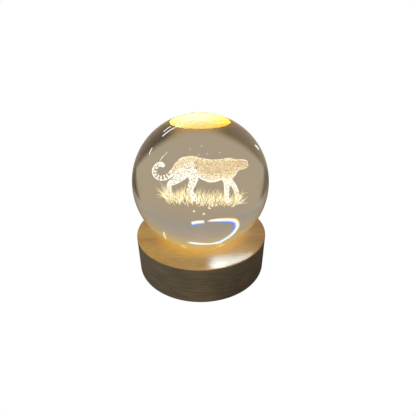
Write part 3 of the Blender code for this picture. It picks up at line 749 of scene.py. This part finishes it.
def white_mask_over_copper():
    """White solder mask on a round board: two copper tracks under it show as faint raised rings."""
    material, tree, shader, place = new_finish("white_solder_mask", Roughness=0.4)
    # The tracks lie 4 mm inside and 4 mm outside the ring of lights
    away = from_axis(tree, place)
    for distance in (LIGHT_RING_RADIUS, 4 * MM):
        away = add_node(tree, "Math", [away, distance], operation="SUBTRACT")
        away = add_node(tree, "Math", [away], operation="ABSOLUTE")
    track = add_node(tree, "MapRange", [away, 0.75 * MM, 0.6 * MM])
    grit = add_node(tree, "TexNoise", {"Vector": place, "Scale": 1 / (1.2 * MM), "Detail": 3.0})
    bare, over_copper = (
        add_node(tree, "ValToRGB", [grit], ((0.35, dark), (0.65, light)))
        for dark, light in (("#E6E3DA", "#F2F0E8"), ("#D9D0BA", "#E4DCC8"))
    )
    colour = add_node(tree, "Mix", {"Factor": track, "A": bare, "B": over_copper}, data_type="RGBA")
    relief = add_node(tree, "Bump", {"Height": track, "Distance": 0.04 * MM})
    feed(shader, {"Base Color": colour, "Normal": relief})
    # The lamplight in the well is painted on the mask as its own glow
    return painted_well_light(material)


def make_inner_finishes(plastic):
    """Finishes of the solid parts that keep their own shape."""
    finishes = {"led_board": white_mask_over_copper(), "bottom_cover": plastic}
    for node, name, dark, light, grain, roughness in (
        ("socket_board", "green_solder_mask", "#0E5A2C", "#14703A", 1.2 * MM, 0.35),
        ("red_lead", "red_silicone_sleeve", "#A31712", "#B8211A", 0.4 * MM, 0.45),
        ("black_lead", "black_silicone_sleeve", "#17171A", "#222226", 0.4 * MM, 0.45),
    ):
        finishes[node] = speckled_finish(name, dark, light, grain, roughness, 0.01 * MM)
    for name, material in finishes.items():
        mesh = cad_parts[name].data
        mesh.materials.clear()
        mesh.materials.append(material)


def make_glass_ball():
    """The ball, ground from a block: a cube that is divided finely and rounded to a sphere."""
    deselect()
    bpy.ops.mesh.primitive_cube_add(size=2 * BALL_RADIUS, location=BALL_CENTRE)
    ball = named("glass_ball")
    edit(ball)
    for _ in range(6):
        bpy.ops.mesh.subdivide(number_cuts=1)
        bpy.ops.transform.tosphere(value=1.0, center_override=BALL_CENTRE)
    deselect()
    for corner in ball.data.vertices:
        corner.co = corner.co.normalized() * BALL_RADIUS
    finished(ball, "ball", "crystal", optical_glass(), replaces=("crystal_ball",), smooth_angle=180)
    # Lamplight and room light reach the wood and the engraving as they would through clear glass
    ball.visible_shadow = False
    ball.visible_diffuse = False


def make_base():
    """The turned base: seat, well, shoulder, pocket and rebate, with a light top and a dark side."""
    slope = SEAT_RADIUS / math.sqrt(BALL_RADIUS**2 - SEAT_RADIUS**2)
    touch_radius = SEAT_RADIUS + GAP * SEAT_RADIUS / BALL_RADIUS
    touch_height = SEAT_HEIGHT - GAP * math.cos(math.asin(SEAT_RADIUS / BALL_RADIUS))
    lip = 0.25 * MM
    top_round = 0.6 * MM
    foot_round = 0.8 * MM
    # Rings close to the rounded edges keep the flat top and the straight side evenly shaded
    support = 0.3 * MM
    shoulder = board_high.z + GAP
    rebate_radius = cover_high.x + GAP
    rebate_top = cover_high.z + GAP
    seat_edge = touch_radius + (BASE_TOP - touch_height) / slope
    profile = [
        (WELL_RADIUS, touch_height - (touch_radius - WELL_RADIUS) * slope),
        (touch_radius, touch_height),
        (seat_edge - lip / 2, BASE_TOP - lip * slope / 2),
        (seat_edge + lip, BASE_TOP),
        (seat_edge + lip + support, BASE_TOP),
        (BASE_RADIUS - top_round - support, BASE_TOP),
        *rounded(BASE_RADIUS - top_round, BASE_TOP - top_round, top_round, 90, 0),
        (BASE_RADIUS, BASE_TOP - top_round - support),
        (BASE_RADIUS, BASE_BOTTOM + foot_round + support),
        *rounded(BASE_RADIUS - foot_round, BASE_BOTTOM + foot_round, foot_round, 0, -90),
        (rebate_radius, BASE_BOTTOM),
        (rebate_radius, rebate_top),
        (POCKET_RADIUS, rebate_top),
        (POCKET_RADIUS, shoulder),
        (WELL_RADIUS, shoulder),
    ]
    base = turned("turned_base", profile, closed=True)
    # The slot that holds the socket's board, and the window in the rear wall that the socket looks out of
    low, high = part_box("socket_board")
    play = 0.5 * MM
    low = Vector((low.x - play, 0, 0))
    cut(base, box_between("slot_block", low, Vector((high.x + play, high.y + GAP, high.z + GAP))))
    play = Vector((GAP, 0, GAP))
    high = Vector((shell_high.x, BASE_RADIUS + 2 * MM, shell_high.z)) + play
    cut(base, round_bar("window_bar", shell_low - play, high))
    finished(
        base, "base", "natural_wood", lacquered_top_wood(), darker_side_wood(), raw_inner_wood(),
        replaces=("wooden_base",), smooth_angle=30,
    )
    edge = BASE_TOP - 0.35 * MM
    for face in base.data.polygons:
        radius, level = math.hypot(face.center.x, face.center.y), face.center.z
        if radius < seat_edge and level < BASE_TOP or radius <= rebate_radius and level < edge:
            face.material_index = 2
        else:
            face.material_index = int(radius > rebate_radius and level < edge)
    return base


def round_bar(name, low, high):
    """A bar along Y with fully round sides, between two corners."""
    bar = box_between(name, low, high)
    bpy.ops.object.transform_apply(location=False, rotation=False, scale=True)
    edit(bar)
    pick(bar, lambda edge, middle: abs(edge.verts[0].co.y - edge.verts[1].co.y) > 1e-6, "edges")
    # A hair less than half the height, so that the rounded edges don't meet
    bpy.ops.mesh.bevel(offset=(high.z - low.z) / 2 * 0.999, segments=16, affect="EDGES")
    deselect()
    return bar


def smooth_route(points, step):
    """A smooth run through points of any size, with a new point about every step in the first three."""
    points = [np.array(point, float) for point in points]
    ends = [2 * points[0] - points[1], *points, 2 * points[-1] - points[-2]]
    route = []
    for before, start, end, after in zip(ends, ends[1:], ends[2:], ends[3:]):
        count = max(1, math.ceil(np.linalg.norm((end - start)[:3]) / step))
        for index in range(count):
            t = index / count
            route.append(
                0.5 * (2 * start + (end - before) * t + (2 * before - 5 * start + 4 * end - after) * t**2
                       + (3 * start - before - 3 * end + after) * t**3)
            )
    route.append(points[-1])
    return route


def scattered(name, pattern, places, sizes, stretch=(1, 1, 1)):
    """One mesh of many copies of a pattern, each at its own place and size. The pattern is then gone."""
    corners = np.array([corner.co for corner in pattern.data.vertices]) * np.array(stretch)
    faces = np.array([list(face.vertices) for face in pattern.data.polygons])
    bpy.data.objects.remove(pattern, do_unlink=True)
    places, sizes = np.array(places), np.array(sizes)
    all_corners = (places[:, None, :] + corners[None] * sizes[:, None, None]).reshape(-1, 3)
    starts = np.arange(len(places))[:, None, None] * len(corners)
    all_faces = (faces[None] + starts).reshape(-1, faces.shape[1])
    mesh = bpy.data.meshes.new(name)
    mesh.from_pydata(all_corners.tolist(), [], all_faces.tolist())
    mesh.update()
    piece = bpy.data.objects.new(name, mesh)
    bpy.context.scene.collection.objects.link(piece)
    return piece


def round_pattern():
    """A small ball, the pattern of a limb's parts."""
    deselect()
    bpy.ops.mesh.primitive_ico_sphere_add(subdivisions=2, radius=1)
    return named("round_pattern")


def dot_pattern():
    """A laser dot, a tiny crack of eight faces: a pyramid whose base is drawn down to a point."""
    deselect()
    bpy.ops.mesh.primitive_cone_add(vertices=4, radius1=1, depth=1, location=(0, 0, 0.5))
    dot = named("dot_pattern")
    bpy.ops.object.transform_apply(location=True, rotation=True, scale=True)
    edit(dot)
    pick(dot, lambda face, middle: len(face.verts) == 4)
    bpy.ops.mesh.poke(offset=1)
    deselect()
    return dot


def sculpted_cat():
    """A spotted cat that walks to the right: limbs are strings of balls, melted together and smoothed."""
    balls = []
    for width, limb in CAT_LIMBS:
        route = smooth_route([(*place, size) for *place, size in limb], 0.5)
        balls.extend((*ball, width) for ball in route)
    balls = np.array(balls)
    groups = []
    for width in np.unique(balls[:, 4]):
        group = balls[balls[:, 4] == width]
        centres = np.array(BALL_CENTRE) + group[:, :3] * MM
        groups.append(scattered("limbs", round_pattern(), centres, group[:, 3] * MM, (1, width, 1)))
    cat = joined("cat_form", *groups)
    modified(cat, "REMESH", mode="VOXEL", voxel_size=0.28 * MM)
    modified(cat, "SMOOTH", iterations=5)
    return cat


def dots_on(form, count, dice):
    """Evenly random points on a form's surface, and the way it faces there. The form is then gone."""
    mesh = form.data
    mesh.calc_loop_triangles()
    corners = np.array([corner.co for corner in mesh.vertices])
    triangles = np.array([list(triangle.vertices) for triangle in mesh.loop_triangles])
    first, second, third = (corners[triangles[:, index]] for index in range(3))
    areas = np.linalg.norm(np.cross(second - first, third - first), axis=1)
    chosen = dice.choice(len(areas), size=count, p=areas / areas.sum())
    along, across = dice.random(count), dice.random(count)
    folded = along + across > 1
    along[folded], across[folded] = 1 - along[folded], 1 - across[folded]
    bpy.data.objects.remove(form, do_unlink=True)
    facing = np.cross(second - first, third - first)[chosen]
    return (
        first[chosen] + along[:, None] * (second - first)[chosen] + across[:, None] * (third - first)[chosen],
        facing / np.linalg.norm(facing, axis=1)[:, None],
    )


def frosted_dots(name, *stops):
    """Laser dots in glass: tiny cracks that scatter the lamplight, painted as their own glow: white where it
    is strong, tan above.
    """
    material, tree, shader, place = new_finish(
        name, Base_Color="#3A3732", Roughness=0.7, Emission_Strength=ENGRAVING_GLOW
    )
    tone = add_node(tree, "Attribute", attribute_name="dot_tone").outputs["Fac"]
    colour = add_node(tree, "ValToRGB", [tone], stops)
    # Cracks differ in depth, every 0.6 mm or so, and glitter more or less
    grain = add_node(tree, "TexNoise", {"Vector": place, "Scale": 1 / (0.6 * MM), "Detail": 1.0})
    level = add_node(tree, "MapRange", [grain, 0.3, 0.7, 0.75, 1.2])
    lit = add_node(tree, "VectorMath", {0: colour, "Scale": level}, operation="SCALE")
    feed(shader, {"Emission Color": lit})
    material.cycles.emission_sampling = "NONE"
    return material


def engraved(kind, places, sizes, tones, *stops):
    """An engraving of laser dots, sealed in the ball: it casts no shadow and is lit by its own glow only."""
    piece = scattered(f"engraved_{kind}", dot_pattern(), places, np.array(sizes) * MM)
    # Each dot's tone is kept on all its corners, for its material
    corners = len(piece.data.vertices) // len(tones)
    tone = piece.data.attributes.new("dot_tone", "FLOAT", "POINT")
    tone.data.foreach_set("value", np.repeat(np.clip(tones, 0, 1).astype(np.float32), corners))
    piece.data.materials.append(frosted_dots(f"laser_dots_{kind}", *stops))
    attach(piece, "ball")
    piece.visible_shadow = False
    piece.visible_diffuse = False
    piece.visible_glossy = False


def make_engraved_cat():
    """The cat's laser dots: tan fur and painted gold lamplight above, white with small dark spots below, and
    a ringed tail.
    """
    dice = np.random.default_rng(11)
    places, facing = dots_on(sculpted_cat(), CAT_DOT_COUNT, dice)
    across, _, height = ((places - np.array(BALL_CENTRE)) / MM).T
    side = np.column_stack((across, height))
    # White below and tan above are the cat's pale belly and also painted lamplight: strong and white from
    # beneath, weak and gold above
    above = height - np.interp(across, *np.array(WHITE_BELOW).T)
    # The change is sharp along the belly and gradual on the thighs
    tan_share = np.clip(above / np.where(across > -1.5, 1.0, 3.2) + 0.3, 0, 1)
    tones = 1.0 - 0.5 * tan_share + dice.normal(0, 0.06 + 0.09 * tan_share)
    # Painted lamplight: the lowest parts are paler still
    tones += 0.14 * np.clip(1.2 - above / 4, 0, 1)
    # The edges of the figure, where its surface turns away from both sides, are cut denser and shine
    edges = np.clip(1.6 * (1 - np.abs(facing[:, 1])) - 0.75 - 0.5 * np.minimum(facing[:, 2], 0), 0, 1)
    tones += 0.6 * edges
    # Small dark spots on body and legs, fainter in the tan fur and on the forelegs
    spots = dots_apart(side, SPOT_SPACING, dice)
    spotted = (nearest_distance(side, spots) < np.where(above > 0.6, 0.2, 0.27)) & (across > SPOTS_FROM)
    spot_tones = np.where(above > 0.6, 0.25, np.where(across > 8, 0.5, 0.1))
    spotted &= edges < 0.5
    tones[spotted] = spot_tones[spotted]
    tones[nearest_distance(side, smooth_route(TAIL_GAP, 0.1)) < 0.28] = 0.1
    on_flank = (side - np.array(FLANK_SPOT)) / np.array((1.0, 0.5))
    tones[np.linalg.norm(on_flank, axis=1) < 1] = 0.17
    # The tail is a little darker, and its curl has dark rings all round but on the right below
    radius = np.hypot(across - TAIL_CURL[0], height - TAIL_CURL[1])
    turn = np.arctan2(height - TAIL_CURL[1], across - TAIL_CURL[0])
    on_tail = across < TAIL_BEFORE
    tones[on_tail & (above < 20)] -= 0.1
    barred = (turn > 2.2) | (turn < -0.3)
    tones[on_tail & barred & (np.sin(turn * 12) > 0.2) & (radius < TAIL_CURL_RADIUS + 0.3)] = 0
    engraved(
        "cat", places, dice.uniform(0.11, 0.16, len(places)), tones,
        (0.0, "#5F4B30"), (0.2, "#A87C46"), (0.5, "#E8CB9A"), (0.72, "#F8E8B8"), (1.0, "#FCFCEC"),
    )


def nearest_distance(places, spots):
    """How far each place is from the nearest of some spots."""
    nearest = np.full(len(places), np.inf)
    for spot in spots:
        nearest = np.minimum(nearest, np.linalg.norm(places - spot, axis=1))
    return nearest


def dots_apart(places, spacing, dice):
    """Picks some of the places, none nearer to another than a spacing."""
    picked = []
    for place in places[dice.permutation(len(places))[:SPOT_TRIES]]:
        if not picked or np.linalg.norm(np.array(picked) - place, axis=1).min() > spacing:
            picked.append(place)
    return picked


def make_engraved_grass():
    """A tuft of long grass under the cat: blades of laser dots, upright in the middle and fanned outside."""
    dice = np.random.default_rng(23)
    places, sizes, tones = [], [], []
    for _ in range(GRASS_BLADE_COUNT):
        # Most roots are spread over the whole tuft, the others make its fanned ends denser
        root = dice.uniform(*ROOT_RANGES[dice.choice(3, p=ROOT_SHARES)])
        end = min(abs(root) / TUFT_REACH, 1)
        depth = dice.uniform(-2.4, 2.4) * math.sqrt(1.02 - end**2)
        low = np.interp(root, *GROUND) + dice.uniform(-0.2, 2.6)
        lean = END_LEAN * math.copysign(end**3, root) + dice.normal(0, 0.3)
        length = dice.uniform(2.2, 5.6) + 1.2 * (dice.random() < 0.15)
        # Blades at the left end are longer
        length *= 1.0 + 0.2 * (root < ROOT_RANGES[1][1])
        curl = dice.normal(0, 0.38)
        tilt = dice.normal(0, 0.12)
        # Most blades are pale, some are dim and stand between them like gaps
        paleness = dice.normal(0, 0.1) - 0.42 * (dice.random() < 0.28)
        count = round(length / BLADE_STEP)
        place = np.array([root, depth, low])
        for index in range(count):
            share = index / count
            turn = lean + curl * share
            place = place + np.array([math.sin(turn), tilt, math.cos(turn)]) * BLADE_STEP
            places.append(place.copy())
            sizes.append(0.175 - 0.1 * share)
            # A blade is painted paler low down and tan towards its tip, as lamplight from below; its root is
            # darker
            root_shade = 0.4 * max(1 - share / 0.2, 0)
            tones.append(0.98 - 0.36 * share - root_shade + paleness + dice.normal(0, 0.05))
    centres = np.array(BALL_CENTRE) + np.array(places) * MM
    engraved(
        "grass", centres, sizes, tones,
        (0.0, "#6E5A38"), (0.3, "#B8935A"), (0.5, "#DEC486"), (0.72, "#F0E4AE"), (1.0, "#FAF8E2"),
    )


def new_light(name):
    """A material for what only shines, and its empty node tree."""
    material = bpy.data.materials.new(name)
    material.use_nodes = True
    material.node_tree.nodes.clear()
    return material, material.node_tree


def strip_finish(name, strength, *stops):
    """A strip of light in the room. Its colours run across its width, and its edges fade to nothing."""
    material, tree = new_light(name)
    parts = add_node(tree, "SeparateXYZ", [add_node(tree, "TexCoord").outputs["UV"]]).outputs
    spread = add_node(tree, "Attribute", attribute_name="colour_spread").outputs["Fac"]
    colour = add_node(tree, "ValToRGB", [spread], stops)
    # Full in the middle of the width, clear at both edges and at both ends
    shown = 1.0
    for part, edge in (("Y", 0.24), ("X", 0.06)):
        centred = add_node(tree, "Math", [parts[part], 0.5], operation="SUBTRACT")
        away = add_node(tree, "Math", [centred], operation="ABSOLUTE")
        fade = add_node(tree, "MapRange", [away, 0.5, 0.5 - edge], interpolation_type="SMOOTHSTEP")
        shown = add_node(tree, "Math", [fade, shown], operation="MULTIPLY")
    glow = add_node(tree, "Emission", [colour, strength])
    mix = add_node(tree, "MixShader", [shown, add_node(tree, "BsdfTransparent"), glow])
    add_node(tree, "OutputMaterial", [mix])
    material.cycles.emission_sampling = "NONE"
    return material


def light_strip(name, pixels, material):
    """A bent strip of light behind the ball. Its image follows pixels, each with half a width."""
    route = smooth_route(pixels, 0.8)
    deselect()
    bpy.ops.mesh.primitive_grid_add(x_subdivisions=len(route) - 1, y_subdivisions=1, size=1)
    strip = named(name)
    # A narrow part of the strip shows only the white middle of its colours
    spread = strip.data.attributes.new("colour_spread", "FLOAT", "POINT")
    for corner in strip.data.vertices:
        index = round((corner.co.x + 0.5) * (len(route) - 1))
        before, after = route[max(index - 1, 0)], route[min(index + 1, len(route) - 1)]
        way = (after - before)[:2] / np.linalg.norm((after - before)[:2])
        side = math.copysign(route[index][2], corner.co.y)
        wide = min(route[index][2] / FULL_SPREAD_PIXELS, 1)
        spread.data[corner.index].value = 0.27 + 0.1 * wide + math.copysign(wide / 2, corner.co.y)
        corner.co = seen_through((route[index][0] - way[1] * side, route[index][1] + way[0] * side))
    strip.data.materials.append(material)
    strip.visible_camera = False
    strip.visible_diffuse = False
    strip.visible_glossy = False
    strip.visible_shadow = False


def make_light_strips():
    """Lamps and a window of the room, which the ball shows bent: a rainbow-edged curve, lines and points."""
    rainbow = strip_finish(
        "rainbow_edged_lamp", 1.25, (0.0, "#E8A050"), (0.12, "#FFE4A8"), (0.2, "#FFFFF4"), (0.31, "#FFFFFF"),
        (0.42, "#B4ECFF"), (0.53, "#88A4FF"), (0.66, "#7468F0"), (0.8, "#B07AE0"),
    )
    white, pale, gold, dim = (
        strip_finish(name, strength, (0.0, code), (1.0, code))
        for name, strength, code in (
            ("white_lamp", 1.2, "#FFFFFF"), ("pale_lamp", 0.6, "#FFF6E4"), ("golden_lamp", 1.2, "#FFF0B8"),
            ("dim_lamp", 0.25, "#E8F0FF"),
        )
    )
    for name, routes, finish in (
        ("rainbow_lamp", ROOM_LAMP_CURVES, rainbow), ("line_lamp", ROOM_LAMP_LINES, white),
        ("foot_lamp", FOOT_GLINTS, gold),
    ):
        for index, route in enumerate(routes, start=1):
            light_strip(f"{name}_{index}", route, finish)
    light_strip("crown_lamp", CROWN_STREAK, dim)
    for name, pixels, reach, finish in (
        ("point_lamp", MIRRORED_LIGHT_PIXELS, 1.15, gold), ("faint_lamp", FAINT_LIGHT_PIXELS, 1.0, pale),
    ):
        for index, (across, down) in enumerate(pixels, start=1):
            left, right = ((across + side * reach, down, 0.6 * reach) for side in (-1, 1))
            light_strip(f"{name}_{index}", [left, (across, down, reach), right], finish)


def floor_light():
    """Pale paper to the camera. To the glass, the warm grey of a dim room with the lamp's painted shadow."""
    material, tree = new_light("pale_paper_floor")
    place = add_node(tree, "TexCoord").outputs["Object"]
    parts = add_node(tree, "SeparateXYZ", [place]).outputs
    left, back = parts["X"], parts["Y"]
    wide = add_node(tree, "Math", [left], operation="ABSOLUTE")
    radius = from_axis(tree, place)
    # The painted shadow ends on a nearly straight line behind the lamp, and on a circle beside it
    lean = add_node(tree, "Math", [wide, -0.03, back], operation="MULTIPLY_ADD")
    edge = add_node(tree, "Math", [left, -0.02, lean], operation="MULTIPLY_ADD")
    near = add_node(tree, "Math", [radius, 26 * MM], operation="SUBTRACT")
    reach = add_node(tree, "Math", [edge, near], operation="MAXIMUM")
    slant = add_node(tree, "Math", [back, wide], operation="DIVIDE")
    # Shares from 0 to 1: the painted shadow, its darker side, the lit gap straight behind, and the floor far
    # away, then three that together make a painted dim patch past each of the lamp's sides
    shadow, side, gap, away, *dims = (
        add_node(tree, "MapRange", [value, clear, full], interpolation_type="SMOOTHSTEP")
        for value, clear, full in (
            (reach, 90 * MM, 76 * MM), (left, -25 * MM, 25 * MM), (wide, 15 * MM, 3 * MM),
            (back, 90 * MM, 700 * MM), (slant, 1.4, 1.0), (back, 20 * MM, 55 * MM),
            (radius, 600 * MM, 250 * MM),
        )
    )
    dim = 1.0
    for share in dims:
        dim = add_node(tree, "Math", [share, dim], operation="MULTIPLY")
    dark = add_node(tree, "ValToRGB", [side], ((0.0, "#6B5A3E"), (1.0, "#3A2C12")))
    dark = add_node(tree, "Mix", {"Factor": gap, "A": dark, "B": "#AE8F5F"}, data_type="RGBA")
    patch = add_node(tree, "ValToRGB", [side], ((0.0, "#5A574C"), (1.0, "#1C1B18")))
    colour = add_node(tree, "ValToRGB", [away], ((0.0, "#A99A83"), (0.2, "#A49685"), (1.0, "#9F998F")))
    seen = add_node(tree, "LightPath").outputs["Is Camera Ray"]
    for factor, layer in ((dim, patch), (shadow, dark), (seen, "#FFFFFF")):
        colour = add_node(tree, "Mix", {"Factor": factor, "A": colour, "B": layer}, data_type="RGBA")
    light = add_node(tree, "Emission", [colour, 1.0])
    # From below the floor is clear, so that the lamp's underside can be seen
    below = add_node(tree, "NewGeometry").outputs["Backfacing"]
    add_node(tree, "OutputMaterial", [
        add_node(tree, "MixShader", [below, light, add_node(tree, "BsdfTransparent")])
    ])
    return material


def make_stage():
    """A pale floor and a pale room. Through the glass both are the warm grey of a dim room."""
    deselect()
    bpy.ops.mesh.primitive_plane_add(size=8, location=(0, 0, 0))
    floor = named("floor")
    floor.data.materials.append(floor_light())

    world = bpy.data.worlds.new("pale_room")
    bpy.context.scene.world = world
    world.use_nodes = True
    tree = world.node_tree
    tree.nodes.clear()
    path = add_node(tree, "LightPath").outputs
    way = add_node(tree, "SeparateXYZ", [add_node(tree, "TexCoord").outputs["Generated"]]).outputs
    # Through the glass the room is a warm grey that turns golden towards the lamp, a painted glow of its
    # light
    bent_room = add_node(
        tree, "ValToRGB", [way["Z"]],
        ((0.0, "#9F998F"), (0.06, "#A69B90"), (0.2, "#B1A390"), (0.32, "#BFAC84"), (0.5, "#D8BC7C"),
         (0.8, "#E9B95A")),
    )
    colour = "#A89B8B"
    for factor, layer in ((path["Is Transmission Ray"], bent_room), (path["Is Camera Ray"], "#FFFFFF")):
        colour = add_node(tree, "Mix", {"Factor": factor, "A": colour, "B": layer}, data_type="RGBA")
    add_node(tree, "OutputWorld", [add_node(tree, "Background", [colour, 1.0])])


def soft_light(name, place, aim, size, watts, colour="#FFFFFF", in_gloss=False):
    """A soft box that faces a point. It lights the lamp but doesn't show in the glass."""
    light = bpy.data.lights.new(name, "AREA")
    light.shape = "RECTANGLE"
    light.size, light.size_y = size
    light.energy = watts
    light.color = srgb(colour)[:3]
    holder = bpy.data.objects.new(name, light)
    holder.location = place
    holder.rotation_euler = (Vector(aim) - Vector(place)).to_track_quat("-Z", "Y").to_euler()
    holder.visible_camera = False
    holder.visible_glossy = in_gloss
    holder.visible_transmission = False
    bpy.context.scene.collection.objects.link(holder)
    return holder


def make_camera():
    """The photograph's camera, fitted to the outline of the ball and the base."""
    camera = bpy.data.cameras.new("photograph_camera")
    camera.sensor_width = 36
    camera.lens = camera.sensor_width * FOCAL_PIXELS / FRAME_SIZE
    camera.clip_start = 0.001
    holder = bpy.data.objects.new("photograph_camera", camera)
    holder.location = CAMERA_PLACE
    holder.rotation_euler = Matrix((CAMERA_RIGHT, CAMERA_UP, CAMERA_BACK)).transposed().to_euler()
    bpy.context.scene.collection.objects.link(holder)
    bpy.context.scene.camera = holder


def make_lights(base):
    """Two soft boxes, and the window that is mirrored on the base's lacquered top."""
    soft_light("left_soft_box", (-0.7, -0.5, 0.7), BALL_CENTRE, (0.6, 0.6), 2.75)
    soft_light("top_soft_box", (0.1, 0.1, 1.1), BALL_CENTRE, (0.8, 0.8), 0.6)
    # The window shines through the ball on the base, and its mirror image stays off the ball's crown
    lit = bpy.data.collections.new("lit_by_window")
    lit.objects.link(base)
    for name, pixel, size, watts in (
        ("window", (233.2, 266.6), (0.147, 0.044), 0.78), ("window_top", (241, 253.5), (0.11, 0.03), 0.018),
    ):
        touch = seen_on_top(pixel)
        line = (touch - CAMERA_PLACE).normalized()
        place = touch + Vector((line.x, line.y, -line.z)) * WINDOW_DISTANCE
        window = soft_light(name, place, touch, size, watts, colour="#DEFAFC", in_gloss=True)
        window.visible_diffuse = False
        window.data.cycles.use_multiple_importance_sampling = False
        window.light_linking.receiver_collection = lit
        window.light_linking.blocker_collection = lit


def main():
    """Builds the whole scene."""
    bpy.context.scene.view_settings.view_transform = "Standard"
    make_camera()
    make_stage()
    make_glass_ball()
    base = make_base()
    steel = brushed_metal("zinc_plated_steel", "#A9ABAA", "#C4C6C4", 0.3)
    can = brushed_metal("bright_stainless_steel", "#B4B5B3", "#CDCECB", 0.22)
    gold = brushed_metal("gold_plated_contact", "#C9A24E", "#E0BD69", 0.25)
    solder = brushed_metal("bright_tin_solder", "#B9BBBA", "#D3D5D4", 0.28)
    package = speckled_finish("white_moulded_package", "#E9E7DF", "#F5F4EE", 0.6 * MM, 0.5, 0.006 * MM)
    ceramic = speckled_finish("black_chip_ceramic", "#131313", "#1F1F1F", 0.2 * MM, 0.5, 0.006 * MM)
    plastic = speckled_finish("black_moulded_plastic", "#161618", "#222225", 0.25 * MM, 0.5, 0.02 * MM)
    foam = speckled_finish("black_foam_rubber", "#1B1B1D", "#2B2B2E", 0.3 * MM, 0.9, 0.06 * MM)
    # The lamplight in the well is painted on the light packages as their own glow
    make_lights_on_board(painted_well_light(package), solder)
    make_resistors(ceramic, solder)
    make_cover_screws(steel)
    make_pan_screws(steel)
    make_foot_pads(foam)
    make_socket(can, plastic, gold)
    make_inner_finishes(plastic)
    make_engraved_cat()
    make_engraved_grass()
    make_light_strips()
    make_lights(base)


main()
